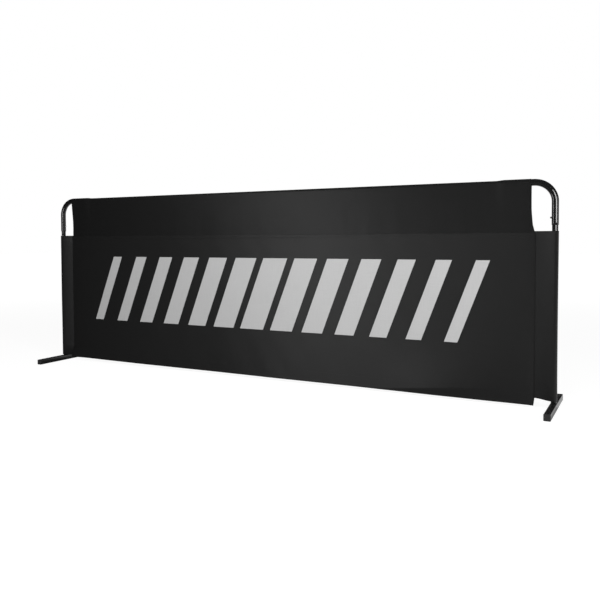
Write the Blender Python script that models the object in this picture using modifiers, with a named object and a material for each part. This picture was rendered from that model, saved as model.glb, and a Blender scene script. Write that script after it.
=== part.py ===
"""Table tennis barrier: a knock-down frame of plugged steel tubes on two swivelling feet,
dressed in a sewn cloth cover.

X runs along the barrier, the front faces -Y, +Z is up, and the origin is on the floor
under the middle. All lengths are in metres.
"""

import math

import bmesh
import bpy
from mathutils import Matrix

# Overall size, over the elbows
FRAME_LENGTH = 2.03
FRAME_HEIGHT = 0.70

# Gap that touching pieces keep
TOUCH = 0.0003
# How far a cutter runs past what it cuts
OVERRUN = 0.002
# Largest distance at which meeting points of one mesh are joined
WELD_POINTS = 0.00002

# Straight tubes: the posts and the two halves of the rail
TUBE_RADIUS = 0.0082
TUBE_WALL = 0.0012
TUBE_FIT = 0.0003
# How far a straight tube stops short of the bend it is plugged into
TUBE_STOP = 0.010

# Elbow: a wider tube, bent through a quarter turn
ELBOW_WALL = 0.0015
BEND_RADIUS = 0.060
ELBOW_LEG_DOWN = 0.070
ELBOW_LEG_ACROSS = 0.075

# Splice tube inside the middle of the rail
SPLICE_LENGTH = 0.200
SPLICE_WALL = 0.0012

# Foot: square tube across the barrier, with a plastic plug in each end
FOOT_LENGTH = 0.300
FOOT_SIDE = 0.019
FOOT_WALL = 0.0012
FOOT_CORNER = 0.0016
PLUG_CAP = 0.0030
PLUG_DEPTH = 0.0140
PLUG_WALL = 0.0018
PLUG_EDGE = 0.0009
PLUG_LAP = 0.0012

# Spigot: stub welded on the foot, on which the post turns
SPIGOT_LENGTH = 0.060
SPIGOT_WALL = 0.0012
SPIGOT_CHAMFER = 0.0006
WELD_BEAD = 0.0020

# Snap button and the hairpin spring behind it
BUTTON_RADIUS = 0.0030
BUTTON_DOME = 0.0018
BUTTON_REACH = 0.0040
BUTTON_SETBACK = 0.022
FLANGE_LIP = 0.0006
FLANGE_THICKNESS = 0.0010
SPRING_THICKNESS = 0.0006
SPRING_WIDTH = 0.0064
SPRING_LENGTH = 0.034
SPRING_TIP = 0.0050
SPRING_BEND_RADIUS = 0.0028

# Cover: cloth, seams and hems
CLOTH = 0.0005
CLOTH_GAP = 0.0003
HEM_HEIGHT = 0.0125
HEM_DEPTH = 0.040
HEM_GAP = 0.0004
# Room between the hem and a foot that is swung in behind it
SWING_CLEAR = 0.0006
# How far in front of the tubes' plane the cloth hangs at its seam
SEAM_FORWARD = 0.0045
SEAM_LAP = 0.010
SEAM_DROP = 0.0025
# The sleeve's top lies this far below the elbow, its bottom this far above the post's end
SLEEVE_DROP = 0.020
SLEEVE_LIFT = 0.0065
# From the post's axis to the fold between sleeve and panel
SLEEVE_REACH = 0.0575
# The pocket's upper end stops this far short of the bend
POCKET_SHORT = 0.007
# The panel's lower corner is cut back by this much, to this height above the hem
CORNER_CUT = 0.0030
CORNER_RISE = 0.0200
# Main folds of the hanging cloth
FOLD_DEPTH = 0.0030
FOLD_COUNT = 3
# Run over which the cloth on the rail climbs onto the elbow
CLIMB_RUN = 0.020
CLIMB_LEAD = 0.004

# Facets
TURN_STEPS = 24
BEND_STEPS = 10
CORNER_STEPS = 3
DOME_STEPS = 4
HAIRPIN_STEPS = 6
WRAP_STEPS = 10
PANEL_COLUMNS = 24
SMOOTH_ANGLE = math.radians(40)

# Window edge of the cover, as (share of the height from seam to rail, share of the flare)
WINDOW_EDGE_SHARES = ((0.0, 1.0), (0.10, 0.62), (0.24, 0.36), (0.48, 0.10), (0.70, 0.0), (1.0, 0.0))
# Rows of the panel between the hem's top and the seam, as shares of that height
PANEL_ROW_SHARES = (0.0, 0.12, 0.28, 0.46, 0.64, 0.82, 1.0)
# Columns of the rail pocket that lie over the plain rail, as shares of its half length
POCKET_COLUMN_SHARES = (-0.8, -0.4, 0.0, 0.4, 0.8)
# Rows of a sleeve from bottom to top, as shares of its height
SLEEVE_ROW_SHARES = (0.0, 0.25, 0.5, 0.75, 1.0)
# Points across a sleeve's flat, as shares of the way from the fold to the post
SLEEVE_FLAT_SHARES = (0.0, 0.33, 0.67)

# Radii that fit into each other, from the inside out
TUBE_BORE = TUBE_RADIUS - TUBE_WALL
ELBOW_BORE = TUBE_RADIUS + TUBE_FIT
ELBOW_RADIUS = ELBOW_BORE + ELBOW_WALL
PLUGGED_RADIUS = TUBE_BORE - TUBE_FIT

# Lines of the frame
POST_X = FRAME_LENGTH / 2 - ELBOW_RADIUS
RAIL_Z = FRAME_HEIGHT - ELBOW_RADIUS
BEND_X = POST_X - BEND_RADIUS
BEND_Z = RAIL_Z - BEND_RADIUS
ELBOW_LOW_Z = BEND_Z - ELBOW_LEG_DOWN
ELBOW_END_X = BEND_X - ELBOW_LEG_ACROSS
POST_TOP_Z = BEND_Z - TUBE_STOP
RAIL_END_X = BEND_X - TUBE_STOP
SPIGOT_BASE_Z = FOOT_SIDE + TOUCH
POST_LOW_Z = SPIGOT_BASE_Z + WELD_BEAD + TOUCH

# Lines of the cover
SLEEVE_TOP_Z = ELBOW_LOW_Z - SLEEVE_DROP
SLEEVE_LOW_Z = POST_LOW_Z + SLEEVE_LIFT
SEAM_Z = SLEEVE_TOP_Z - SEAM_DROP
FOLD_X = POST_X - SLEEVE_REACH
POCKET_TOP_X = BEND_X - POCKET_SHORT
HEM_BACK_Y = -(FOOT_SIDE / 2 + SWING_CLEAR)
PANEL_LOW_Y = HEM_BACK_Y - CLOTH - HEM_GAP

SIDES = (("left", -1), ("right", 1))
ENDS = (("front", -1), ("back", 1))

PAINT = ((0.012, 0.012, 0.013), 0.28, 0.0)
STEEL = ((0.62, 0.62, 0.64), 0.30, 1.0)
PLASTIC = ((0.020, 0.020, 0.021), 0.55, 0.0)
CLOTH_FINISH = ((0.014, 0.014, 0.015), 0.75, 0.0)


def new_collection(name):
    """Collection linked to the scene."""
    collection = bpy.data.collections.new(name)
    bpy.context.scene.collection.children.link(collection)
    return collection


def clear_scene():
    """Remove whatever the file holds."""
    for obj in list(bpy.data.objects):
        bpy.data.objects.remove(obj, do_unlink=True)


clear_scene()
PARTS = new_collection("table_tennis_barrier")
CUTTERS = new_collection("cutters")


def finish_material(name, finish):
    """Principled material of one piece."""
    colour, roughness, metallic = finish
    material = bpy.data.materials.new(name)
    material.use_nodes = True
    shader = material.node_tree.nodes["Principled BSDF"]
    shader.inputs["Base Color"].default_value = (*colour, 1.0)
    shader.inputs["Roughness"].default_value = roughness
    shader.inputs["Metallic"].default_value = metallic
    return material


def place(name, mesh, finish, location=(0.0, 0.0, 0.0), rotation=(0.0, 0.0, 0.0)):
    """Named piece with its own material, at its place in the barrier."""
    mesh.name = name
    mesh.materials.append(finish_material(name, finish))
    obj = bpy.data.objects.new(name, mesh)
    obj.location = location
    obj.rotation_euler = rotation
    PARTS.objects.link(obj)
    return obj


def place_tool(name, mesh, location=(0.0, 0.0, 0.0), rotation=(0.0, 0.0, 0.0)):
    """Cutter or joining shape, kept out of the model."""
    obj = bpy.data.objects.new(name, mesh)
    obj.location = location
    obj.rotation_euler = rotation
    obj.hide_render = True
    obj.display_type = "WIRE"
    CUTTERS.objects.link(obj)
    return obj


def combine(obj, tool, operation="DIFFERENCE"):
    """Cut obj with tool, or join the two."""
    modifier = obj.modifiers.new(tool.name, "BOOLEAN")
    modifier.operation = operation
    modifier.solver = "EXACT"
    modifier.object = tool


def smooth(mesh):
    """Smooth shading on round faces, with the real edges sharp."""
    mesh.shade_smooth()
    mesh.set_sharp_from_angle(angle=SMOOTH_ANGLE)
    return mesh


def welded(mesh):
    """Join the points that meet, and turn the faces outward."""
    work = bmesh.new()
    work.from_mesh(mesh)
    bmesh.ops.remove_doubles(work, verts=work.verts, dist=WELD_POINTS)
    bmesh.ops.recalc_face_normals(work, faces=work.faces)
    work.to_mesh(mesh)
    work.free()
    return smooth(mesh)


def baked(source):
    """Mesh of a construction object with its modifiers, after which the object is removed."""
    bpy.context.scene.collection.objects.link(source)
    bpy.context.view_layer.update()
    graph = bpy.context.evaluated_depsgraph_get()
    mesh = bpy.data.meshes.new_from_object(source.evaluated_get(graph), depsgraph=graph)
    bpy.data.objects.remove(source, do_unlink=True)
    return welded(mesh)


def turned(name, profile, closed=True):
    """Solid turned about Z from (radius, height) points that run down its outer side."""
    count = len(profile)
    edges = [(i, i + 1) for i in range(count - 1)]
    if closed:
        edges.append((count - 1, 0))
    mesh = bpy.data.meshes.new(name)
    mesh.from_pydata([(radius, 0.0, height) for radius, height in profile], edges, [])
    source = bpy.data.objects.new(name, mesh)
    screw = source.modifiers.new("turn", "SCREW")
    screw.steps = TURN_STEPS
    screw.render_steps = TURN_STEPS
    screw.use_merge_vertices = True
    screw.merge_threshold = WELD_POINTS
    return baked(source)


def tube(name, radius, wall, low, high):
    """Plain round tube along Z."""
    bore = radius - wall
    return turned(name, ((radius, high), (radius, low), (bore, low), (bore, high)))


def rounded_square(side, corner):
    """Outline of a square with rounded corners, centred on zero."""
    points = []
    inset = side / 2 - corner
    for quarter in range(4):
        start = quarter * math.pi / 2
        middle = start + math.pi / 4
        centre_u = math.copysign(inset, math.cos(middle))
        centre_v = math.copysign(inset, math.sin(middle))
        for step in range(CORNER_STEPS + 1):
            angle = start + step / CORNER_STEPS * math.pi / 2
            points.append((centre_u + corner * math.cos(angle), centre_v + corner * math.sin(angle)))
    return points


def bar(name, outlines, length):
    """Outlines in X and Z, the first with the others cut out of it, drawn out along Y."""
    curve = bpy.data.curves.new(name, "CURVE")
    curve.dimensions = "2D"
    curve.fill_mode = "BOTH"
    curve.extrude = length / 2
    for outline in outlines:
        spline = curve.splines.new("POLY")
        spline.points.add(len(outline) - 1)
        for point, (u, v) in zip(spline.points, outline):
            point.co = (u, v, 0.0, 1.0)
        spline.use_cyclic_u = True
    mesh = baked(bpy.data.objects.new(name, curve))
    mesh.transform(Matrix.Rotation(math.pi / 2, 4, "X"))
    return mesh


def sheet(name, rows, thickness):
    """Cloth laid through rows of points, thickened on the side that its faces look to."""
    work = bmesh.new()
    grid = [[work.verts.new(point) for point in row] for row in rows]
    for lower, upper in zip(grid, grid[1:]):
        for a, b, c, d in zip(lower, lower[1:], upper[1:], upper):
            work.faces.new((a, b, c, d))
    mesh = bpy.data.meshes.new(name)
    work.to_mesh(mesh)
    work.free()
    source = bpy.data.objects.new(name, mesh)
    solidify = source.modifiers.new("cloth", "SOLIDIFY")
    solidify.thickness = thickness
    solidify.offset = 1.0
    solidify.use_even_offset = True
    return baked(source)


def elbow_mesh():
    """Right-hand elbow about the centre of its bend: down leg, quarter turn and across leg."""
    curve = bpy.data.curves.new("elbow", "CURVE")
    curve.dimensions = "3D"
    curve.bevel_depth = ELBOW_RADIUS
    curve.bevel_resolution = TURN_STEPS // 2 - 2
    curve.use_fill_caps = False
    path = [(BEND_RADIUS, -ELBOW_LEG_DOWN)]
    for step in range(BEND_STEPS + 1):
        angle = step / BEND_STEPS * math.pi / 2
        path.append((BEND_RADIUS * math.cos(angle), BEND_RADIUS * math.sin(angle)))
    path.append((-ELBOW_LEG_ACROSS, BEND_RADIUS))
    spline = curve.splines.new("POLY")
    spline.points.add(len(path) - 1)
    for point, (x, z) in zip(spline.points, path):
        point.co = (x, 0.0, z, 1.0)
    source = bpy.data.objects.new("elbow", curve)
    skin = baked(source)
    wall = bpy.data.objects.new("elbow_wall", skin)
    solidify = wall.modifiers.new("wall", "SOLIDIFY")
    solidify.thickness = ELBOW_WALL
    solidify.offset = -1.0
    solidify.use_even_offset = True
    return baked(wall)


def button_seat():
    """Distance from a tube's axis to the outer face of the button's flange in its bore."""
    flat_bore = TUBE_BORE * math.cos(math.pi / TURN_STEPS)
    flange = BUTTON_RADIUS + FLANGE_LIP
    return math.sqrt(flat_bore**2 - flange**2) - TOUCH


def button_mesh():
    """Snap button: flange in the bore, shank through both walls and a domed head, along +X."""
    tip = ELBOW_RADIUS + BUTTON_REACH
    seat = button_seat()
    flange = BUTTON_RADIUS + FLANGE_LIP
    profile = []
    for step in range(DOME_STEPS + 1):
        angle = step / DOME_STEPS * math.pi / 2
        profile.append((BUTTON_RADIUS * math.sin(angle), tip - BUTTON_DOME * (1 - math.cos(angle))))
    profile += [(BUTTON_RADIUS, seat), (flange, seat)]
    profile += [(flange, seat - FLANGE_THICKNESS), (0.0, seat - FLANGE_THICKNESS)]
    mesh = turned("button", profile, closed=False)
    mesh.transform(Matrix.Rotation(math.pi / 2, 4, "Y"))
    return mesh


def spring_mesh():
    """Hairpin strip: one leg behind the button, a bend, and one leg on the opposite wall."""
    near = button_seat() - FLANGE_THICKNESS - TOUCH - SPRING_THICKNESS
    flat_bore = TUBE_BORE * math.cos(math.pi / TURN_STEPS)
    far = math.sqrt(flat_bore**2 - (SPRING_WIDTH / 2) ** 2) - TOUCH - SPRING_THICKNESS
    bend_z = SPRING_TIP - SPRING_LENGTH + SPRING_BEND_RADIUS
    path = [(near, SPRING_TIP), (near, -SPRING_TIP)]
    for step in range(HAIRPIN_STEPS + 1):
        angle = step / HAIRPIN_STEPS * math.pi
        path.append((SPRING_BEND_RADIUS * math.cos(angle), bend_z - SPRING_BEND_RADIUS * math.sin(angle)))
    path.append((-far, SPRING_TIP))
    half = SPRING_WIDTH / 2
    rows = [[(x, -half, z), (x, half, z)] for x, z in path]
    return sheet("spring", rows, SPRING_THICKNESS)


def hole_tool(name, location, rotation):
    """Cutter for the button's hole, from inside the bore to past the elbow."""
    low = TUBE_BORE - TUBE_WALL - OVERRUN
    high = ELBOW_RADIUS + OVERRUN
    work = bmesh.new()
    bmesh.ops.create_cone(
        work,
        cap_ends=True,
        segments=TURN_STEPS,
        radius1=BUTTON_RADIUS + TUBE_FIT,
        radius2=BUTTON_RADIUS + TUBE_FIT,
        depth=high - low,
        matrix=Matrix.Translation(((low + high) / 2, 0.0, 0.0)) @ Matrix.Rotation(math.pi / 2, 4, "Y"),
    )
    mesh = bpy.data.meshes.new(name)
    work.to_mesh(mesh)
    work.free()
    return place_tool(name, mesh, location, rotation)


def plug_mesh():
    """Front end plug of a foot: rounded cap with a hollow skirt that enters the tube."""
    cap = bar("plug_cap", [rounded_square(FOOT_SIDE, FOOT_CORNER)], PLUG_CAP)
    inner_side = FOOT_SIDE - 2 * FOOT_WALL - 2 * TUBE_FIT
    inner_corner = max(FOOT_CORNER - FOOT_WALL, WELD_POINTS)
    skirt = bar(
        "plug_skirt",
        [
            rounded_square(inner_side, inner_corner),
            rounded_square(inner_side - 2 * PLUG_WALL, inner_corner),
        ],
        PLUG_DEPTH + PLUG_LAP,
    )
    skirt.transform(Matrix.Translation((0.0, (PLUG_CAP + PLUG_DEPTH - PLUG_LAP) / 2, 0.0)))
    tool = place_tool("plug_skirt", skirt)
    source = bpy.data.objects.new("plug", cap)
    bevel = source.modifiers.new("edge", "BEVEL")
    bevel.width = PLUG_EDGE
    bevel.segments = 2
    bevel.limit_method = "ANGLE"
    bevel.angle_limit = SMOOTH_ANGLE
    combine(source, tool, "UNION")
    return baked(source)


def spigot_mesh():
    """Stub tube with its weld bead, standing on the foot's top."""
    outer = PLUGGED_RADIUS
    bore = outer - SPIGOT_WALL
    top = SPIGOT_BASE_Z + SPIGOT_LENGTH
    profile = (
        (outer - SPIGOT_CHAMFER, top),
        (outer, top - SPIGOT_CHAMFER),
        (outer, SPIGOT_BASE_Z + WELD_BEAD),
        (outer + WELD_BEAD, SPIGOT_BASE_Z),
        (bore, SPIGOT_BASE_Z),
        (bore, top),
    )
    return turned("spigot", profile)


def make_foot(side, sign):
    """Foot, its spigot and its two end plugs, about the post's axis."""
    hub = (sign * POST_X, 0.0, 0.0)
    tube_side = FOOT_SIDE - 2 * FOOT_WALL
    tube_corner = max(FOOT_CORNER - FOOT_WALL, WELD_POINTS)
    outlines = [rounded_square(FOOT_SIDE, FOOT_CORNER), rounded_square(tube_side, tube_corner)]
    channel = bar("foot", outlines, FOOT_LENGTH - 2 * (PLUG_CAP + TOUCH))
    channel.transform(Matrix.Translation((0.0, 0.0, FOOT_SIDE / 2)))
    place("foot_" + side, channel, PAINT, hub)
    place("foot_spigot_" + side, spigot_mesh(), PAINT, hub)
    for end, way in ENDS:
        plug_y = way * (FOOT_LENGTH - PLUG_CAP) / 2
        turn = 0.0 if way < 0 else math.pi
        name = "foot_plug_{}_{}".format(side, end)
        place(name, plug_mesh(), PLASTIC, (hub[0], plug_y, FOOT_SIDE / 2), (0.0, 0.0, turn))


def make_corner(side, sign):
    """Elbow, post and rail half of one side, with their snap buttons and springs."""
    turn = 0.0 if sign > 0 else math.pi
    elbow = place("elbow_" + side, elbow_mesh(), PAINT, (sign * BEND_X, 0.0, BEND_Z), (0.0, 0.0, turn))
    upright = tube("post", TUBE_RADIUS, TUBE_WALL, POST_LOW_Z, POST_TOP_Z)
    post = place("post_" + side, upright, PAINT, (sign * POST_X, 0.0, 0.0), (0.0, 0.0, turn))
    half = tube("rail", TUBE_RADIUS, TUBE_WALL, TOUCH / 2, RAIL_END_X)
    rail = place("rail_" + side, half, PAINT, (0.0, 0.0, RAIL_Z), (0.0, math.pi / 2, turn))
    seats = (
        ("post", post, (sign * POST_X, 0.0, ELBOW_LOW_Z + BUTTON_SETBACK), (0.0, 0.0, turn + math.pi)),
        ("rail", rail, (sign * (ELBOW_END_X + BUTTON_SETBACK), 0.0, RAIL_Z), (0.0, math.pi / 2, turn)),
    )
    for where, straight, location, rotation in seats:
        hole = hole_tool("{}_hole_{}".format(where, side), location, rotation)
        combine(elbow, hole)
        combine(straight, hole)
        place("{}_button_{}".format(where, side), button_mesh(), STEEL, location, rotation)
        place("{}_spring_{}".format(where, side), spring_mesh(), STEEL, location, rotation)


def make_splice():
    """Tube inside the joint of the two rail halves."""
    mesh = tube("splice", PLUGGED_RADIUS, SPLICE_WALL, -SPLICE_LENGTH / 2, SPLICE_LENGTH / 2)
    place("rail_splice", mesh, STEEL, (0.0, 0.0, RAIL_Z), (0.0, math.pi / 2, 0.0))


def panel_y(z):
    """Back face of the hanging panel: furthest forward at the hem, drawn in at the seam."""
    share = (SEAM_Z - z) / (SEAM_Z - HEM_HEIGHT)
    return -SEAM_FORWARD + share * (PANEL_LOW_Y + SEAM_FORWARD)


def fold_y(x_share, z):
    """How far the main folds push the panel forward, least at its sides and its seam."""
    fall = max(0.0, (SEAM_Z - z) / (SEAM_Z - HEM_HEIGHT))
    wave = (1 - math.cos(math.pi * FOLD_COUNT * (x_share + 1))) / 2
    return -FOLD_DEPTH * wave * fall**2


def panel_half(z):
    """Half length of the panel at height z, cut back at its lower corners."""
    rise = min(1.0, max(0.0, (z - HEM_HEIGHT) / CORNER_RISE))
    return FOLD_X - CORNER_CUT * (1 - rise)


def make_panel():
    """Front sheet, hemmed along the floor with a turned-up fold."""
    hem_top = HEM_HEIGHT + HEM_DEPTH
    turn = HEM_GAP / 2
    fold_low = HEM_HEIGHT + CLOTH
    profile = [(HEM_GAP, hem_top), (HEM_GAP, HEM_HEIGHT + CORNER_RISE), (HEM_GAP, fold_low + turn)]
    profile += [(turn, fold_low), (0.0, fold_low + turn), (0.0, HEM_HEIGHT + CORNER_RISE)]
    profile += [(0.0, hem_top + share * (SEAM_Z - hem_top)) for share in PANEL_ROW_SHARES]
    rows = []
    for back, z in profile:
        row = []
        for column in range(PANEL_COLUMNS + 1):
            share = 2 * column / PANEL_COLUMNS - 1
            row.append((share * panel_half(z), panel_y(z) + back + fold_y(share, z), z))
        rows.append(row)
    place("cover_panel", sheet("cover_panel", rows, CLOTH), CLOTH_FINISH)


def pocket_half(z):
    """Half length of the rail pocket at height z, along the edge of the corner window."""
    height = min(1.0, max(0.0, (z - SEAM_Z) / (RAIL_Z - SEAM_Z)))
    for (low, wide), (high, narrow) in zip(WINDOW_EDGE_SHARES, WINDOW_EDGE_SHARES[1:]):
        if height <= high:
            flare = wide + (narrow - wide) * (height - low) / (high - low)
            break
    return POCKET_TOP_X + flare * (FOLD_X - POCKET_TOP_X)


def pocket_columns():
    """Distances along the rail at which the pocket has a column, with the tube inside it there."""
    climb = ELBOW_END_X - CLIMB_LEAD - CLIMB_RUN
    inner = [(share * climb, TUBE_RADIUS) for share in POCKET_COLUMN_SHARES]
    columns = [(-POCKET_TOP_X, ELBOW_RADIUS), (-ELBOW_END_X + CLIMB_LEAD, ELBOW_RADIUS), (-climb, TUBE_RADIUS)]
    columns += inner
    columns += [(climb, TUBE_RADIUS), (ELBOW_END_X - CLIMB_LEAD, ELBOW_RADIUS), (POCKET_TOP_X, ELBOW_RADIUS)]
    return columns


def wrapped(front, back, centre, radius):
    """Cloth round a tube at (centre, 0), between the points where it leaves front and back.

    Points are pairs: along the line from the cloth's edge to the tube, and across it.
    """
    ends = []
    for (along, across), way in ((front, 1), (back, -1)):
        reach = math.hypot(centre - along, across)
        direction = math.pi - math.atan2(across, centre - along)
        ends.append(direction + way * math.acos(radius / reach))
    start, end = ends[0], ends[1] + 2 * math.pi
    points = []
    for step in range(WRAP_STEPS + 1):
        angle = start + step / WRAP_STEPS * (end - start)
        points.append((centre + radius * math.cos(angle), radius * math.sin(angle)))
    return points


def between(start, end, shares):
    """Points on the line from start to end at the given shares of it."""
    return [tuple(a + share * (b - a) for a, b in zip(start, end)) for share in shares]


def pocket_section(radius):
    """Inner face of the pocket round a tube, as (z, y): up the front, over and down the back."""
    front_y = panel_y(SEAM_Z) + CLOTH + CLOTH_GAP
    back_y = front_y + HEM_GAP
    front = (SEAM_Z, front_y)
    back = (SEAM_Z, back_y)
    over = wrapped(front, back, RAIL_Z, radius + CLOTH_GAP)
    shares = [share for share, _ in WINDOW_EDGE_SHARES[:-1]]
    up = [(SEAM_Z - SEAM_LAP, front_y)] + between(front, over[0], shares)
    down = [(SEAM_Z - SEAM_LAP, back_y)] + between(back, over[-1], shares)
    return up + over + down[::-1]


def make_pocket():
    """Band of cloth folded over the rail and sewn together behind the panel's top edge."""
    sections = [(x, pocket_section(radius)) for x, radius in pocket_columns()]
    rows = []
    for index in range(len(sections[0][1])):
        row = []
        for x, section in sections:
            z, y = section[index]
            row.append((x * pocket_half(z) / POCKET_TOP_X, y, z))
        rows.append(row)
    place("cover_rail_pocket", sheet("cover_rail_pocket", rows, CLOTH), CLOTH_FINISH)


def sleeve_section(z):
    """Inner face of a right-hand sleeve at height z, as (x, y): fold, round the post and back."""
    front = (FOLD_X + TOUCH, panel_y(z))
    back = (FOLD_X + TOUCH, panel_y(z) + HEM_GAP)
    around = wrapped(front, back, POST_X, TUBE_RADIUS + CLOTH_GAP)
    out = between(front, around[0], SLEEVE_FLAT_SHARES)
    home = between(back, around[-1], SLEEVE_FLAT_SHARES)
    return out + around + home[::-1]


def make_sleeve(side, sign):
    """Cloth sleeve round a post, sewn to the panel's edge."""
    rows = []
    for share in SLEEVE_ROW_SHARES:
        z = SLEEVE_LOW_Z + share * (SLEEVE_TOP_Z - SLEEVE_LOW_Z)
        rows.append([(sign * x, y, z) for x, y in sleeve_section(z)])
    if sign < 0:
        rows.reverse()
    name = "cover_sleeve_" + side
    place(name, sheet(name, rows, CLOTH), CLOTH_FINISH)


for side_name, side_sign in SIDES:
    make_foot(side_name, side_sign)
    make_corner(side_name, side_sign)
    make_sleeve(side_name, side_sign)
make_splice()
make_panel()
make_pocket()
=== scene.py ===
"""Looks of a table tennis barrier: glossy black tubes, two square feet and a printed cloth cover.

The frame carries everything, in metres: X along the barrier, the front faces -Y, +Z is up.
"""

import math

import bmesh
import bpy
from mathutils import Matrix, Vector, noise


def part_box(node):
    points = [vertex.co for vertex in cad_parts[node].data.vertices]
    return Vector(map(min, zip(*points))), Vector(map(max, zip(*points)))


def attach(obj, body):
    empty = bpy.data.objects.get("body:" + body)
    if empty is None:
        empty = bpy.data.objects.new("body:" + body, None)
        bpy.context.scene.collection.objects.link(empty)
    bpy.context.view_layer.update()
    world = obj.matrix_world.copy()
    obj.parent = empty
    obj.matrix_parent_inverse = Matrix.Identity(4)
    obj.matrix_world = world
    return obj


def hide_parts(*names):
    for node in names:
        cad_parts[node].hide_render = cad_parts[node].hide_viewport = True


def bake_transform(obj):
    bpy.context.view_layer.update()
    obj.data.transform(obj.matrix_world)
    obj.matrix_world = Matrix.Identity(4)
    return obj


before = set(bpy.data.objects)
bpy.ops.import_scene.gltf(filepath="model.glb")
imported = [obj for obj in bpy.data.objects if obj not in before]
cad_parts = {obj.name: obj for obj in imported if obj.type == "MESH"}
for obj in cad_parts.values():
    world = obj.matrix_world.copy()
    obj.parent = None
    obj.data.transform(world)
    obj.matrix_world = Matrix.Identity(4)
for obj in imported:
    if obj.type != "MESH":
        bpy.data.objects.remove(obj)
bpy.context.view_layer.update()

# Camera, as the photograph was taken: 36 mm wide sensor, square picture
CAMERA_AT = (1.2698, -2.2374, 0.5221)
CAMERA_YAW = math.radians(28.237)
CAMERA_PITCH = math.radians(1.998)
CAMERA_ROLL = math.radians(-0.296)
CAMERA_LENS = 41.85
CAMERA_SHIFT = (0.0325, -0.0611)

# Frame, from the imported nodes
ELBOW_LOW, ELBOW_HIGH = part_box("elbow_right")
POST_LOW, POST_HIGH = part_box("post_right")
FOOT_LOW, FOOT_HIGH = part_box("foot_right")
BUTTON_LOW, BUTTON_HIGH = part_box("post_button_right")
POST_X = (POST_LOW.x + POST_HIGH.x) / 2
RAIL_Z = ELBOW_HIGH.z - ELBOW_HIGH.y
RAIL_RADIUS = POST_HIGH.y
BUTTON_Z = (BUTTON_LOW.z + BUTTON_HIGH.z) / 2
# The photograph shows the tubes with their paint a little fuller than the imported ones
ELBOW_COAT = 0.0004
POST_COAT = 0.0007
ELBOW_RADIUS = ELBOW_HIGH.y + ELBOW_COAT
POST_RADIUS = POST_HIGH.y + POST_COAT
BEND_RADIUS = 0.060
BEND_X = POST_X - BEND_RADIUS
BEND_Z = RAIL_Z - BEND_RADIUS
ELBOW_WALL = 0.0013
TUBE_WALL = 0.0012
TUBE_LIP = 0.0004
TUBE_SIDES = 48
FOOT_SIDE = 0.0200
FOOT_CORNER = 0.0017

# Spigot and its weld bead, on which a post stands
SPIGOT_RADIUS = 0.0073
SPIGOT_WALL = 0.0012
SPIGOT_LIP = 0.0006
SPIGOT_TOP = 0.0793
SPIGOT_GAP = 0.0002
SPIGOT_BASE = FOOT_SIDE + SPIGOT_GAP
BEAD = 0.0020
BEAD_STEPS = 6
BEAD_RIPPLE = 0.00018
BEAD_RIPPLES = 22

# Foot plug: its outside from the face inward, as (narrower than the foot, corner, way in)
PLUG_ROUND = 0.0009
PLUG_NOSE = (
    (0.0042, 0.0010, 0.0),
    (0.0018, 0.0016, 0.12),
    (0.0006, 0.0018, 0.5),
    (0.0, FOOT_CORNER, 1.3),
)
PLUG_RIM_SHARE = 0.9
PLUG_FIT = 0.0006

# Snap button, whose tip is measured from the post's axis, and its hairpin spring
BUTTON_RADIUS = 0.0030
BUTTON_DOME = 0.0018
BUTTON_TIP = 0.0148
BUTTON_FIT = 0.0003
BUTTON_FLANGE = 0.0006
BUTTON_FLANGE_THICKNESS = 0.001
SPRING_EDGE = 0.00008
# Radius at which a turned piece closes on its axis
POINT = 0.00001

# Cloth of the cover; TURN is the step from a layer to the one folded behind it
CLOTH = 0.0005
TURN = 0.0007
SEAM_Z = 0.5375
SEAM_Y = -0.0056
SEAM_LAP = 0.010
HEM_Y = -0.0122
HEM_DEPTH = 0.040
# Height of the panel's lower edge along the barrier, as (x, height)
HEM_LINE = (
    (-0.948, 0.0148),
    (-0.925, 0.0171),
    (-0.885, 0.0180),
    (-0.820, 0.0179),
    (-0.40, 0.0154),
    (-0.10, 0.0149),
    (0.11, 0.0139),
    (0.55, 0.0121),
    (0.950, 0.0101),
)
# Where the panel folds back to a sleeve, as its distance from the middle on each side
FOLD_REACH = {-1: 0.9570, 1: 0.9508}
# The panel narrows by so much at its lower corners, over this height
CORNER_CUT = 0.0030
CORNER_RISE = 0.0200
# Window edges of the pocket, as (height, distance from the middle)
WINDOW_EDGES = {
    "left": (
        (0.5275, 0.9502),
        (0.545, 0.9502),
        (0.570, 0.9473),
        (0.600, 0.9452),
        (0.625, 0.9450),
        (0.702, 0.9462),
    ),
    "right": (
        (0.5275, 0.9480),
        (0.543, 0.9468),
        (0.557, 0.9420),
        (0.576, 0.9396),
        (0.611, 0.9366),
        (0.702, 0.9355),
    ),
}
# How far inside the fold a sleeve is sewn on
SLEEVE_LAP = 0.006
SLEEVE_TOP = {"left": 0.5409, "right": 0.5420}
# Lower edge of a sleeve, at the fold and at the post
SLEEVE_LOW = {"left": (0.0245, 0.0228), "right": (0.0340, 0.0272)}
# How far the sleeve's front swells, by height
SLEEVE_BULGE = {
    "left": ((0.02, 0.0003), (0.54, 0.0003)),
    "right": ((0.05, 0.0009), (0.30, -0.0001), (0.54, -0.0009)),
}
# How loose each sleeve lies round its post, by height
SLEEVE_SLACK = {
    "left": ((0.02, 0.0028), (0.16, 0.0031), (0.28, 0.0040), (0.42, 0.0038), (0.54, 0.0036)),
    "right": ((0.02, 0.0007), (0.10, 0.0001), (0.28, 0.0001), (0.40, 0.0006), (0.54, 0.0013)),
}
# Turned-in edges, as shares of the sleeve's height and of half the cover's length
SLEEVE_HEM = 0.020
WINDOW_HEM = 0.008
PANEL_HEM = 0.007

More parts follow.
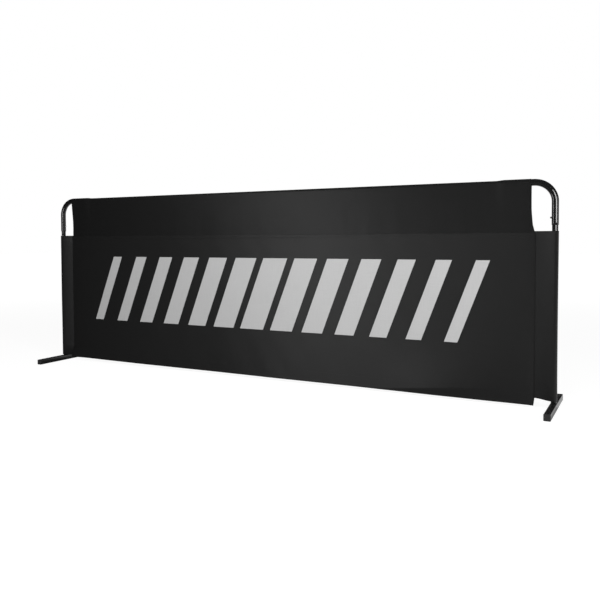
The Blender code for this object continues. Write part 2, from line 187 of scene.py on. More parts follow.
# Relief of the hanging cloth: its broad folds, and the sizes of its small ripples and puckers
FOLD_DEPTH = 0.0030
FOLD_COUNT = 3
PANEL_SOFT = 0.0009
PANEL_DRAG = 0.0005
LAP_RIDGE = 0.0005
POCKET_SOFT = 0.0006
SLEEVE_SOFT = 0.4
# Share of the panel's ripples that its seam lets through, and how its drag lines lean
SOFT_AT_SEAM = 0.3
DRAG_LEAN = (0.8, 0.3)
# Edge of the seam's lap: where its ridge starts below it and is full above it
LAP_EDGE = (0.003, 0.001)
# Puckers, as (size, distance over which they fade from the stitches)
SEAM_PUCKER = (0.0005, 0.016)
HEM_PUCKER = (0.0004, 0.012)
POCKET_PUCKER = (0.0005, 0.018)
# Their waves, as (closeness along x, closeness along z, seed)
PANEL_SOFT_WAVES = (6.0, 1.3, 1.0)
PANEL_DRAG_WAVES = (12.0, 3.0, 4.0)
SEAM_PUCKER_WAVES = (48.0, 12.0, 7.0)
HEM_PUCKER_WAVES = (42.0, 12.0, 9.0)
POCKET_SOFT_WAVES = (6.5, 5.0, 12.0)
POCKET_PUCKER_WAVES = (52.0, 12.0, 15.0)
SLEEVE_WAVES = (30.0, 9.0, 20.0)
# Heights above the seam between which the pocket is free to ripple, as (start, full)
POCKET_FREE_LOW = (0.0, 0.03)
POCKET_FREE_HIGH = (0.145, 0.10)
# Where the pocket climbs onto an elbow, from before its end to past it
POCKET_CLIMB = (0.030, 0.002)
# A sleeve's slack grows round its post, from before the post's axis to past it
SLACK_GROWS = (0.010, 0.008)
# Height over which a sleeve's top steps back behind the pocket's lap
SLEEVE_TUCK = 0.012
# Left fold, drawn back beside its post, and right fold, which stands out more and more downward
FOLD_ROUND = 0.004
LEFT_FOLD_TOP = 0.0034
LEFT_FOLD_LOW = 0.0044
LEFT_FOLD_WIDTH = 0.055
LEFT_FOLD_START = 0.021
LEFT_FOLD_FULL = 0.075
RIGHT_FOLD_TOP = 0.0012
RIGHT_FOLD_LOW = -0.0018
RIGHT_FOLD_WIDTH = 0.014
# Lower right corner: the hem tilts back under a crease that climbs to the right
CREASE_START = 0.35
CURL_START = 0.40
CURL_FULL = 0.72
CURL_FADE = 0.68
CURL_TOP = 0.86
CURL_HEIGHT = 0.041
CURL_FORWARD = 0.0115
CURL_REACH = 0.17
# Shares of the curl that are lost at the fold, and kept at the hem
CURL_LOST = 0.80
CURL_KEPT = 0.08

# Fineness of the cloth, as (steps, how crowded they are toward the edges)
PANEL_UP = (108, 0.72)
PANEL_ALONG = (300, 0.25)
POCKET_ALONG = (220, 0.35)
SLEEVE_UP = (70, 0.3)
LOOP_FLAT = 14
LOOP_ROUND = 18

# Print: one row of slanted bars that narrow toward both ends, so many to each side of the middle
PRINT_LOW = 0.188
PRINT_HIGH = 0.452
PRINT_PITCH = 0.124
PRINT_BARS = 6
PRINT_SLANT = 0.38
PRINT_WIDEST_SHARE = 0.80
PRINT_STEP_SHARE = 0.075

# Finishes: the yarns and their sheen, and grey levels from black to white
YARN_PITCH = 0.0010
SHEEN = 0.7
SHEEN_TURN = 0.28
INK_DARK, INK = 0.10, 0.565
THREAD_DARK, THREAD_LIGHT = 0.010, 0.024
PLUG_BLACK, PLUG_RUBBED = 0.030, 0.10
BARE_STEEL = 0.16
CLOTH_DUST = 0.30
PAINT_DUST = 0.32
FLOOR_GREY = 0.22

# Studio levels, where 1 renders white
FILL = 0.12
DARK_STUDIO = 0.01
FLOOR_NEAR = 0.92
# Distances over which the floor pales from that level to white
FLOOR_PALES = (1.5, 6.0)
FLOOR_SIZE = 40.0
# White backdrop that gloss mirrors, as (start, full) backward and downward
BACKDROP_BEHIND = (0.30, 0.60)
BACKDROP_HEIGHT = (0.12, 0.05)
# Bright floor that gloss mirrors, as (start, full): all behind the barrier, and some beyond its end
FLOOR_BEHIND = (0.0, 0.06)
FLOOR_BEYOND_X = (1.00, 1.04)
FLOOR_BEYOND_Y = (-0.20, -0.14)
# Painted shadow: darker strips of it beside the feet, for their contact shadow, as (start, full) from each
# side and the change of level
FLOOR_SHADOW_BESIDE_FEET = (
    ((0.98, 1.00), (1.12, 1.06), -0.45),
    ((-1.03, -1.00), (-0.88, -0.93), -0.65),
)

# Stitches
STITCH_PITCH = 0.0042
STITCH_LENGTH = 0.0034
THREAD = 0.00024
STITCH_SIDES = 5
# A stitch's rings, as (place along it, size, how far out), in shares of its length and thread
STITCH_RINGS = ((-0.42, 0.75, -0.5), (0.0, 1.0, 0.35), (0.42, 0.75, -0.5))
# Rows below the seam, and how far the other rows stay from their edges
SEAM_ROW_UPPER = 0.0030
SEAM_ROW_LOWER = 0.0085
ROW_INSET = 0.003
SIDE_ROW_INSET = 0.0035
SIDE_ROW_MARGIN = 0.002

# Places where lamps are aimed
COVER_MIDDLE = (0.2, 0.0, 0.35)
RIGHT_ELBOW = (1.0, 0.0, 0.6)

SHARP_ANGLE = math.radians(35.0)

SIDES = (("left", -1), ("right", 1))
ENDS = (("front", -1), ("back", 1))


def smoothstep(low, high, value):
    """Share of the way from low to high, eased at both ends."""
    share = min(1.0, max(0.0, (value - low) / (high - low)))
    return share * share * (3 - 2 * share)


def curve_through(points, value):
    """Smooth curve through (value, result) pairs."""
    if value <= points[0][0]:
        return points[0][1]
    for index in range(len(points) - 1):
        low, high = points[index], points[index + 1]
        if value <= high[0]:
            before = points[max(0, index - 1)]
            after = points[min(len(points) - 1, index + 2)]
            width = high[0] - low[0]
            start = (high[1] - before[1]) / (high[0] - before[0]) * width
            end = (after[1] - low[1]) / (after[0] - low[0]) * width
            t = (value - low[0]) / width
            rise = high[1] - low[1]
            square, cube = 3 * rise - 2 * start - end, start + end - 2 * rise
            return low[1] + t * start + t * t * square + t**3 * cube
    return points[-1][1]


def ripple(x, z, waves, layer=0.0):
    """Smooth noise from -1 to 1, of waves' (closeness along x, closeness along z, seed)."""
    return noise.noise(Vector((x * waves[0], z * waves[1], waves[2] + layer)))


def evenly(start, end, steps):
    """Evenly spaced values from start to end, with both."""
    return [start + step / steps * (end - start) for step in range(steps + 1)]


# Meshes


def linked(name, data):
    """New object in the scene."""
    made = bpy.data.objects.new(name, data)
    bpy.context.scene.collection.objects.link(made)
    return made


def shown(name, mesh, material, body="frame"):
    """Piece of the barrier that rides on a body and takes its finish from a slot."""
    piece = linked(name, mesh)
    mesh.materials.append(material)
    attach(piece, body)
    return piece


def smooth(mesh):
    """Smooth shading with the real edges sharp."""
    mesh.shade_smooth()
    mesh.set_sharp_from_angle(angle=SHARP_ANGLE)
    return mesh


def mesh_of(name, work):
    """Mesh of what was built in a bmesh, which is freed."""
    mesh = bpy.data.meshes.new(name)
    work.to_mesh(mesh)
    work.free()
    return mesh


def solid_of(name, work):
    """Mesh of a closed solid, with its faces turned outward and its real edges sharp."""
    bmesh.ops.recalc_face_normals(work, faces=work.faces)
    return smooth(mesh_of(name, work))


def join_rings(work, first, second):
    """Band of faces between two rings of as many points."""
    for index in range(len(first)):
        after = (index + 1) % len(first)
        work.faces.new((first[index], second[index], second[after], first[after]))


def grid_mesh(name, rows, places):
    """Sheet of faces through rows of points; places holds each point's spot on the cloth."""
    work = bmesh.new()
    layer = work.loops.layers.uv.new("cloth")
    grid = [[work.verts.new(point) for point in row] for row in rows]
    for r in range(len(rows) - 1):
        for c in range(len(rows[0]) - 1):
            corners = ((r, c), (r, c + 1), (r + 1, c + 1), (r + 1, c))
            face = work.faces.new([grid[i][j] for i, j in corners])
            for loop, (i, j) in zip(face.loops, corners):
                loop[layer].uv = places[i][j]
    mesh = mesh_of(name, work)
    mesh.shade_smooth()
    return mesh


def thicken(piece, thickness, offset=0.0):
    """Give a sheet its thickness, half to each side unless told otherwise."""
    solidify = piece.modifiers.new("cloth", "SOLIDIFY")
    solidify.thickness = thickness
    solidify.offset = offset
    return solidify


def turned(name, profile, sides, ripples=None):
    """Closed solid turned about Z from (radius, height) points.

    Where ripples are given, they map a point's index and angle to a change of its radius.
    """
    work = bmesh.new()
    rings = []
    for index, (radius, height) in enumerate(profile):
        ring = []
        for side in range(sides):
            angle = 2 * math.pi * side / sides
            reach = radius + (ripples(index, angle) if ripples else 0.0)
            ring.append(work.verts.new((reach * math.cos(angle), reach * math.sin(angle), height)))
        rings.append(ring)
    for upper, lower in zip(rings, rings[1:] + rings[:1]):
        join_rings(work, upper, lower)
    return solid_of(name, work)


def lipped_tube(radius, wall, low, high):
    """Profile of a round tube whose cut ends are eased, for turned()."""
    bore = radius - wall
    lip = TUBE_LIP
    return (
        (radius, high - lip),
        (radius, low + lip),
        (radius - lip / 3, low + lip / 3),
        (radius - lip, low),
        (bore, low),
        (bore, high),
        (radius - lip, high),
        (radius - lip / 3, high - lip / 3),
    )


def drill_for_button(tube, sign, radius, wall):
    """Drill the snap button's hole through the inner side of an elbow or post."""
    hole = BUTTON_RADIUS + BUTTON_FIT
    work = bmesh.new()
    cone = {"segments": 32, "radius1": hole, "radius2": hole, "depth": 3 * wall}
    bmesh.ops.create_cone(work, cap_ends=True, **cone)
    centre = (sign * (POST_X - radius + wall / 2), 0.0, BUTTON_Z)
    work.transform(Matrix.Translation(centre) @ Matrix.Rotation(math.pi / 2, 4, "Y"))
    cutter = linked("hole", mesh_of("hole", work))
    cut = tube.modifiers.new("hole", "BOOLEAN")
    cut.solver = "EXACT"
    cut.object = cutter
    apply_modifiers(tube)
    bpy.data.objects.remove(cutter, do_unlink=True)


def apply_modifiers(piece):
    """Replace a piece's mesh by what its modifiers make of it."""
    bpy.context.view_layer.update()
    graph = bpy.context.evaluated_depsgraph_get()
    mesh = bpy.data.meshes.new_from_object(piece.evaluated_get(graph), depsgraph=graph)
    piece.modifiers.clear()
    piece.data = smooth(mesh)


# Shader nodes


VALUE = "NodeSocketFloat"
VECTOR = "NodeSocketVector"


class Tree:
    """Short way to add and join the nodes of one tree."""

    def __init__(self, tree):
        self.tree = tree

    def add(self, kind, inputs=None, **settings):
        """Node of a kind, with its settings and what feeds its inputs."""
        node = self.tree.nodes.new(kind)
        for name, value in settings.items():
            setattr(node, name, value)
        for name, value in (inputs or {}).items():
            self.feed(node.inputs[name], value)
        return node

    def feed(self, socket, value):
        """Link a socket to another, or give it a value."""
        if isinstance(value, bpy.types.NodeSocket):
            self.tree.links.new(value, socket)
        else:
            socket.default_value = value

    def math(self, operation, first, second=0.0, third=0.0):
        """Result of a Math node."""
        return self.add("ShaderNodeMath", {0: first, 1: second, 2: third}, operation=operation).outputs[0]

    def span(self, value, low, high, to_low=0.0, to_high=1.0):
        """Result of a smooth Map Range node."""
        inputs = {"Value": value, "From Min": low, "From Max": high, "To Min": to_low, "To Max": to_high}
        return self.add("ShaderNodeMapRange", inputs, interpolation_type="SMOOTHSTEP").outputs["Result"]

    def mix(self, share, first, second):
        """Result of a colour Mix node."""
        node = self.add("ShaderNodeMix", data_type="RGBA")
        self.feed(node.inputs[0], share)
        self.feed(node.inputs[6], first)
        self.feed(node.inputs[7], second)
        return node.outputs[2]

    def grain(self, place, scale, detail=2.0, roughness=0.5):
        """Value of a Noise node."""
        inputs = {"Vector": place, "Scale": scale, "Detail": detail, "Roughness": roughness}
        return self.add("ShaderNodeTexNoise", inputs).outputs[0]

    def stretched(self, place, stretch):
        """Place with each axis scaled."""
        return self.add("ShaderNodeMapping", {"Vector": place, "Scale": stretch}).outputs[0]


def grey(level):
    """Colour of a grey level."""
    return (level, level, level, 1.0)


def new_group(name, inputs, outputs):
    """Node group with named sockets; inputs are (name, kind, default), outputs (name, kind)."""
    group = bpy.data.node_groups.new(name, "ShaderNodeTree")
    for socket, kind, default in inputs:
        made = group.interface.new_socket(name=socket, in_out="INPUT", socket_type=kind)
        if default is not None:
            made.default_value = default
    for socket, kind in outputs:
        group.interface.new_socket(name=socket, in_out="OUTPUT", socket_type=kind)
    tree = Tree(group)
    return tree, tree.add("NodeGroupInput").outputs, tree.add("NodeGroupOutput").inputs


def plain_weave_group():
    """Over and under of warp and weft, with yarns of uneven thickness; its tone is darker where the weave is
    low, a painted shade in the hollows between yarns.
    """
    tree, given, result = new_group(
        "PlainWeave",
        (("Place", VECTOR, None), ("Pitch", VALUE, 0.001), ("Slub", VALUE, 0.3)),
        (("Height", VALUE), ("Tone", VALUE)),
    )
    parts = tree.add("ShaderNodeSeparateXYZ", {"Vector": given["Place"]}).outputs
    across = tree.math("DIVIDE", parts["X"], given["Pitch"])
    along = tree.math("DIVIDE", parts["Y"], given["Pitch"])
    yarns = []
    for own, other, sign in ((across, along, 0.5), (along, across, -0.5)):
        body = tree.math("ABSOLUTE", tree.math("SINE", tree.math("MULTIPLY", own, math.pi)))
        turn = tree.math("ADD", other, tree.math("FLOOR", own))
        lift = tree.math("MULTIPLY_ADD", tree.math("SINE", tree.math("MULTIPLY", turn, math.pi)), sign, 0.5)
        yarns.append(tree.math("MULTIPLY", body, lift))
    height = tree.math("MAXIMUM", yarns[0], yarns[1])
    across_yarn, along_yarn = 900.0, 18.0
    warp = tree.grain(tree.stretched(given["Place"], (across_yarn, along_yarn, 1.0)), 1.0)
    weft = tree.grain(tree.stretched(given["Place"], (along_yarn, across_yarn, 1.0)), 1.0)
    slub = tree.math("ADD", warp, tree.math("SUBTRACT", weft, 1.0))
    uneven = tree.math("MULTIPLY", slub, given["Slub"])
    tree.feed(result["Height"], tree.math("ADD", height, uneven))
    # Painted shade: the tone darkens where the weave is low, in the hollows between yarns; the slubs add
    # uneven yarn tone.
    shade = tree.math("MULTIPLY_ADD", height, 0.35, 0.80)
    tree.feed(result["Tone"], tree.math("ADD", shade, uneven))
    return tree.tree


def fine_grain_group():
    """Fine uneven skin of paint, zinc or moulded plastic."""
    tree, given, result = new_group(
        "FineGrain",
        (("Place", VECTOR, None), ("Scale", VALUE, 400.0), ("Spread", VALUE, 0.1)),
        (("Height", VALUE), ("Tone", VALUE)),
    )
    fine = tree.grain(given["Place"], given["Scale"], 3.0)
    broad = tree.grain(given["Place"], 14.0, 2.0)
    tree.feed(result["Height"], fine)
    drift = tree.math("SUBTRACT", tree.math("ADD", fine, broad), 1.0)
    tree.feed(result["Tone"], tree.math("MULTIPLY_ADD", drift, given["Spread"], 1.0))
    return tree.tree


def edge_wear_group():
    """Mask of rubbed edges and of a few scuffs."""
    tree, given, result = new_group(
        "EdgeWear",
        (("Place", VECTOR, None), ("Amount", VALUE, 0.3)),
        (("Wear", VALUE),),
    )
    pointed = tree.add("ShaderNodeNewGeometry").outputs["Pointiness"]
    edge = tree.span(pointed, 0.53, 0.62)
    patchy = tree.span(tree.grain(given["Place"], 60.0, 4.0, 0.65), 0.50, 0.62)
    scratched = tree.stretched(given["Place"], (40.0, 260.0, 260.0))
    scuffs = tree.span(tree.grain(scratched, 1.0, 3.0), 0.72, 0.78)
    worn = tree.math("MAXIMUM", tree.math("MULTIPLY", edge, patchy), tree.math("MULTIPLY", scuffs, 0.4))
    tree.feed(result["Wear"], tree.math("MULTIPLY", worn, given["Amount"]))
    return tree.tree


def dust_group():
    """Mask of dust that settles on what faces up."""
    tree, given, result = new_group(
        "Dust",
        (("Place", VECTOR, None), ("Amount", VALUE, 0.2)),
        (("Dust", VALUE),),
    )
    normal = tree.add("ShaderNodeNewGeometry").outputs["Normal"]
    rise = tree.add("ShaderNodeSeparateXYZ", {"Vector": normal}).outputs["Z"]
    patchy = tree.span(tree.grain(given["Place"], 90.0, 5.0, 0.7), 0.40, 0.70)
    settled = tree.math("MULTIPLY", tree.span(rise, 0.35, 0.95), patchy)
    tree.feed(result["Dust"], tree.math("MULTIPLY", settled, given["Amount"]))
    return tree.tree


GROUPS = {
    "weave": plain_weave_group(),
    "grain": fine_grain_group(),
    "wear": edge_wear_group(),
    "dust": dust_group(),
}


def effect(tree, name, **inputs):
    """One of the node groups, placed in a material with its own values."""
    node = tree.add("ShaderNodeGroup", node_tree=GROUPS[name])
    for socket, value in inputs.items():
        tree.feed(node.inputs[socket.replace("_", " ").title()], value)
    return node.outputs


def new_material(name):
    """Material with its tree, its Principled shader and the place of each point on its piece."""
    material = bpy.data.materials.new(name)
    material.use_nodes = True
    tree = Tree(material.node_tree)
    shader = material.node_tree.nodes["Principled BSDF"]
    place = tree.add("ShaderNodeTexCoord").outputs["Object"]
    return material, tree, shader.inputs, place


def bump(tree, height, distance, strength):
    """Normal raised by a height."""
    inputs = {"Strength": strength, "Distance": distance, "Height": height}
    return tree.add("ShaderNodeBump", inputs).outputs["Normal"]


def printed_bars(tree, spot):
    """Mask of the printed bars on the panel, from each point's spot on the cloth."""
    parts = tree.add("ShaderNodeSeparateXYZ", {"Vector": spot}).outputs
    rise = tree.math("SUBTRACT", parts["Y"], (PRINT_LOW + PRINT_HIGH) / 2)
    lean = tree.math("MULTIPLY_ADD", rise, -PRINT_SLANT, parts["X"])
    along = tree.math("DIVIDE", lean, PRINT_PITCH)
    number = tree.math("ROUND", along)
    off_middle = tree.math("ABSOLUTE", tree.math("SUBTRACT", along, number))
    from_centre = tree.math("ABSOLUTE", number)
    width = tree.math("MULTIPLY_ADD", from_centre, -PRINT_STEP_SHARE, PRINT_WIDEST_SHARE)
    bar = tree.math("LESS_THAN", off_middle, tree.math("MULTIPLY", width, 0.5))
    in_row = tree.math("LESS_THAN", tree.math("ABSOLUTE", rise), (PRINT_HIGH - PRINT_LOW) / 2)
    counted = tree.math("LESS_THAN", from_centre, PRINT_BARS + 0.5)
    return tree.math("MULTIPLY", tree.math("MULTIPLY", bar, in_row), counted)


def cover_cloth(name, level, gloss, printed=False):
    """Black woven polyester whose sheen follows its yarns, plain or with the pale print."""
    material, tree, shader, place = new_material(name)
    spot = tree.add("ShaderNodeUVMap", uv_map="cloth").outputs["UV"]
    weave = effect(tree, "weave", place=spot, pitch=YARN_PITCH, slub=0.30)
    worn = tree.math("MULTIPLY_ADD", tree.grain(spot, 7.0, 3.0), 0.14, 0.93)
    # The weave's tone carries painted shade in the hollows between yarns, besides the cloth's uneven tone.
    tone = tree.math("MULTIPLY", weave["Tone"], worn)
    black = tree.mix(tone, grey(0.0), grey(level))
    colour = black
    if printed:
        ink = tree.mix(tone, grey(INK_DARK), grey(INK))
        colour = tree.mix(printed_bars(tree, spot), black, ink)
    dust = effect(tree, "dust", place=place, amount=0.06)
    tree.feed(shader["Base Color"], tree.mix(dust["Dust"], colour, grey(CLOTH_DUST)))
    tree.feed(shader["Roughness"], tree.math("MULTIPLY_ADD", weave["Height"], -0.06, 0.50))
    tree.feed(shader["Specular IOR Level"], gloss)
    tree.feed(shader["Anisotropic"], SHEEN)
    tree.feed(shader["Anisotropic Rotation"], SHEEN_TURN)
    yarns = tree.add("ShaderNodeTangent", direction_type="UV_MAP", uv_map="cloth").outputs["Tangent"]
    tree.feed(shader["Tangent"], yarns)
    tree.feed(shader["Normal"], bump(tree, weave["Height"], 0.00010, 0.20))
    return material


def sewing_thread():
    """Black polyester thread with its twist."""
    material, tree, shader, place = new_material("sewing_thread")
    twist = tree.add("ShaderNodeTexWave", {"Vector": place, "Scale": 900.0, "Distortion": 1.0}).outputs[1]
    tree.feed(shader["Base Color"], tree.mix(twist, grey(THREAD_DARK), grey(THREAD_LIGHT)))
    tree.feed(shader["Roughness"], 0.45)
    tree.feed(shader["Normal"], bump(tree, twist, 0.00005, 0.6))
    return material


def gloss_paint(name, level, roughness, wear):
    """Glossy black powder coat over steel, with its slight orange peel."""
    material, tree, shader, place = new_material(name)
    skin = effect(tree, "grain", place=place, scale=260.0, spread=0.25)
    rubbed = effect(tree, "wear", place=place, amount=wear)["Wear"]
    dust = effect(tree, "dust", place=place, amount=0.05)["Dust"]
    paint = tree.mix(skin["Tone"], grey(0.0), grey(level))
    bare = tree.mix(rubbed, paint, grey(BARE_STEEL))
    tree.feed(shader["Base Color"], tree.mix(dust, bare, grey(PAINT_DUST)))
    dulled = tree.math("ADD", tree.math("MULTIPLY", rubbed, 0.25), tree.math("MULTIPLY", dust, 0.8))
    tree.feed(shader["Roughness"], tree.math("ADD", tree.math("MULTIPLY", skin["Tone"], roughness), dulled))
    tree.feed(shader["Metallic"], tree.math("MULTIPLY", rubbed, 0.7))
    tree.feed(shader["Normal"], bump(tree, skin["Height"], 0.000007, 0.5))
    return material


def moulded_plastic():
    """Black moulded plastic of the foot's end plugs."""
    material, tree, shader, place = new_material("plug_plastic")
    skin = effect(tree, "grain", place=place, scale=1500.0, spread=0.20)
    rubbed = effect(tree, "wear", place=place, amount=0.35)["Wear"]
    plain = tree.mix(skin["Tone"], grey(0.0), grey(PLUG_BLACK))
    tree.feed(shader["Base Color"], tree.mix(rubbed, plain, grey(PLUG_RUBBED)))
    tree.feed(shader["Roughness"], tree.math("MULTIPLY", skin["Tone"], 0.48))
    tree.feed(shader["Normal"], bump(tree, skin["Height"], 0.00003, 0.5))
    return material


def bright_steel(name, level, roughness):
    """Zinc-plated or spring steel with fine drawn lines."""
    material, tree, shader, place = new_material(name)
    skin = effect(tree, "grain", place=tree.stretched(place, (1.0, 1.0, 0.1)), scale=900.0, spread=0.30)
    tree.feed(shader["Base Color"], tree.mix(skin["Tone"], grey(0.0), grey(level)))
    tree.feed(shader["Metallic"], 1.0)
    tree.feed(shader["Roughness"], tree.math("MULTIPLY", skin["Tone"], roughness))
    tree.feed(shader["Normal"], bump(tree, skin["Height"], 0.00001, 0.5))
    return material


# Shape of the cover


def hem_z(x):
    """Height of the panel's lower edge."""
    return curve_through(HEM_LINE, x)


def fold_reach(x):
    """How far from the middle the panel meets the sleeve on x's side."""
    return FOLD_REACH[1 if x > 0 else -1]


def fold_x(sign):
    """Where the panel meets a sleeve."""
    return sign * FOLD_REACH[sign]


def curl(x, z):
    """How far the lower right corner hangs forward of the rest, at its crease and around it."""
    grow = smoothstep(CURL_START, CURL_FULL, x) * (1 - CURL_LOST * smoothstep(CURL_FADE, fold_x(1), x))
    crease = hem_z(x) + CURL_HEIGHT * smoothstep(CREASE_START, CURL_TOP, x)
    if z < crease:
        share = (z - hem_z(x)) / max(crease - hem_z(x), CLOTH)
        lean = CURL_KEPT + (1 - CURL_KEPT) * share
    else:
        lean = 1 - smoothstep(0.0, CURL_REACH, z - crease)
    return -CURL_FORWARD * grow * lean


def edge_relief(x, z, hang, fall):
    """How the panel bends toward its two folds."""
    beside = math.hypot(max(0.0, fold_reach(x) - abs(x)), FOLD_ROUND)
    if x > 0:
        depth = RIGHT_FOLD_TOP + fall * (RIGHT_FOLD_LOW - RIGHT_FOLD_TOP)
        return depth * math.exp(-beside / RIGHT_FOLD_WIDTH)
    above = smoothstep(LEFT_FOLD_START, LEFT_FOLD_FULL, z)
    depth = LEFT_FOLD_TOP + fall * (LEFT_FOLD_LOW - LEFT_FOLD_TOP)
    return (depth - hang) * math.exp(-beside / LEFT_FOLD_WIDTH) * above


def pucker(kind, distance):
    """Size of the puckers of a kind at a distance from their stitches."""
    size, fade = kind
    return size * math.exp(-distance / fade)


def panel_y(x, z):
    """Middle of the panel's cloth: drawn back at its seam and folds, hanging forward between."""
    fall = min(1.0, max(0.0, (SEAM_Z - z) / (SEAM_Z - hem_z(x))))
    hang = SEAM_Y + fall * (HEM_Y - SEAM_Y)
    wave = (1 - math.cos(math.pi * FOLD_COUNT * (x / fold_reach(x) + 1))) / 2
    folds = -FOLD_DEPTH * wave * fall**2
    soft = PANEL_SOFT * ripple(x, z, PANEL_SOFT_WAVES) * (SOFT_AT_SEAM + (1 - SOFT_AT_SEAM) * fall)
    drag = PANEL_DRAG * ripple(x + DRAG_LEAN[0] * z, z - DRAG_LEAN[1] * x, PANEL_DRAG_WAVES)
    puckers = pucker(SEAM_PUCKER, SEAM_Z - z) * ripple(x, z, SEAM_PUCKER_WAVES)
    puckers += pucker(HEM_PUCKER, abs(z - hem_z(x) - HEM_DEPTH)) * ripple(x, z, HEM_PUCKER_WAVES)
    lap_z = SEAM_Z - SEAM_LAP
    ridge = -LAP_RIDGE * smoothstep(lap_z - LAP_EDGE[0], lap_z + LAP_EDGE[1], z)
    return hang + folds + edge_relief(x, z, hang, fall) + soft + drag + puckers + ridge + curl(x, z)


def panel_half(x_share, z):
    """Half length of the panel at a height, cut back at its lower corners."""
    low = hem_z(x_share * fold_reach(x_share))
    rise = min(1.0, max(0.0, (z - low) / CORNER_RISE))
    return fold_reach(x_share) - CORNER_CUT * (1 - rise)


def hemmed(positions, low_reach, high_reach):
    """(position, inset) pairs of a sheet whose two edges are turned in and lie flat behind it."""
    radius = TURN / 2
    low, high = positions[0], positions[-1]
    turn = evenly(0.0, math.pi, 4)
    reaches = (0.25, 0.5, 0.75, 1.0)
    pairs = [(low + low_reach * share, TURN) for share in reversed(reaches)]
    pairs += [(low + radius * (1 - math.sin(a)), radius * (1 + math.cos(a))) for a in turn]
    pairs += [(position, 0.0) for position in positions[1:-1]]
    pairs += [(high - radius * (1 - math.sin(a)), radius * (1 - math.cos(a))) for a in turn]
    pairs += [(high - high_reach * share, TURN) for share in reaches]
    return pairs


def spread(low, steps, crowd):
    """Positions from low to 1, crowded toward both ends."""
    positions = []
    for share in evenly(0.0, 1.0, steps):
        eased = share - crowd * math.sin(2 * math.pi * share) / (2 * math.pi)
        positions.append(low + eased * (1.0 - low))
    return positions


def make_panel(printed, plain):
    """Front sheet with its turned-up hem, its turned-in top and sides, and the print."""
    height = SEAM_Z - hem_z(0.0)
    heights = hemmed(spread(0.0, *PANEL_UP), HEM_DEPTH / height, SEAM_LAP / height)
    shares = hemmed(spread(-1.0, *PANEL_ALONG), PANEL_HEM, PANEL_HEM)
    rows, places = [], []
    for rise, back in heights:
        row, spots = [], []
        for share, inset in shares:
            low = hem_z(share * fold_reach(share))
            z = low + rise * (SEAM_Z - low)
            x = share * panel_half(share, z)
            row.append((x, panel_y(x, z) + back + inset, z))
            spots.append((x, z))
        rows.append(row)
        places.append(spots)
    mesh = grid_mesh("panel_cloth", rows, places)
    panel = shown("panel_cloth", mesh, printed)
    panel.data.materials.append(plain)
    solidify = thicken(panel, CLOTH)
    solidify.material_offset = 1
    solidify.material_offset_rim = 1
    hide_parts("cover_panel")
    return panel


def loop_section(front, back, centre, radius):
    """Cloth from front round a tube at (centre, 0) to back, as (along, across, inward) points.

    Each inward is the direction from the cloth to the inside of the loop, at (along, across).
    """
    ends = []
    for (along, across), way in ((front, 1), (back, -1)):
        reach = math.hypot(centre - along, across)
        direction = math.pi - math.atan2(across, centre - along)
        ends.append(direction + way * math.acos(radius / reach))
    around = []
    for angle in evenly(ends[0], ends[1] + 2 * math.pi, LOOP_ROUND):
        around.append((centre + radius * math.cos(angle), radius * math.sin(angle)))
    shares = evenly(0.0, 1.0, LOOP_FLAT)[:-1]
    out = [tuple(a + share * (b - a) for a, b in zip(front, around[0])) for share in shares]
    home = [tuple(a + share * (b - a) for a, b in zip(back, around[-1])) for share in shares]
    path = out + around + home[::-1]
    section = []
    for index, (along, across) in enumerate(path):
        before, after = path[max(0, index - 1)], path[min(len(path) - 1, index + 1)]
        tangent = Vector((after[0] - before[0], after[1] - before[1])).normalized()
        section.append((along, across, Vector((-tangent.y, tangent.x))))
    return section


def loop_lengths(section):
    """Distance along a section from its start to each of its points."""
    lengths = [0.0]
    for (a0, c0, _), (a1, c1, _) in zip(section, section[1:]):
        lengths.append(lengths[-1] + math.hypot(a1 - a0, c1 - c0))
    return lengths


def pocket_radius(x):
    """Middle of the pocket's cloth from the rail's axis: it climbs onto the elbows at the ends."""
    climb = smoothstep(ELBOW_LOW.x - POCKET_CLIMB[0], ELBOW_LOW.x + POCKET_CLIMB[1], abs(x))
    return RAIL_RADIUS + climb * (ELBOW_RADIUS - RAIL_RADIUS) + CLOTH


def pocket_edge(x_share, z):
    """Distance from the middle at which the pocket ends, at a height."""
    side = "left" if x_share < 0 else "right"
    return curve_through(WINDOW_EDGES[side], z)


def pocket_relief(x, z, layer):
    """How far the pocket's front or back layer stands out: soft ripples, and puckers at its seam."""
    above = max(0.0, z - SEAM_Z)
    free = smoothstep(*POCKET_FREE_LOW, above) * smoothstep(*POCKET_FREE_HIGH, above)
    soft = POCKET_SOFT * (1 + ripple(x, z, POCKET_SOFT_WAVES, layer)) * free
    return soft + pucker(POCKET_PUCKER, above) * (1 + ripple(x, z, POCKET_PUCKER_WAVES, layer))


def make_pocket(cloth):
    """Band folded over the rail, with hemmed ends along the corner windows."""
    shares = hemmed(spread(-1.0, *POCKET_ALONG), WINDOW_HEM, WINDOW_HEM)
    sections = {}
    for share, _ in shares:
        x = share * pocket_edge(share, SEAM_Z - SEAM_LAP)
        seam = panel_y(x, SEAM_Z - SEAM_LAP) + 2 * TURN
        front = (SEAM_Z - SEAM_LAP, seam)
        back = (SEAM_Z - SEAM_LAP, seam + TURN)
        sections[share] = loop_section(front, back, RAIL_Z, pocket_radius(x))
    lengths = loop_lengths(sections[shares[len(shares) // 2][0]])
    rows, places = [], []
    for index in range(len(lengths)):
        row, spots = [], []
        layer = 0.0 if index < len(lengths) / 2 else 1.0
        for share, inset in shares:
            z, y, inward = sections[share][index]
            x = share * pocket_edge(share, z)
            shift = inset - pocket_relief(x, z, layer)
            row.append((x, y + inward.y * shift, z + inward.x * shift))
            spots.append((x, lengths[index]))
        rows.append(row)
        places.append(spots)
    mesh = grid_mesh("pocket_cloth", rows, places)
    pocket = shown("pocket_cloth", mesh, cloth)
    thicken(pocket, CLOTH)
    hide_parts("cover_rail_pocket")
    return pocket


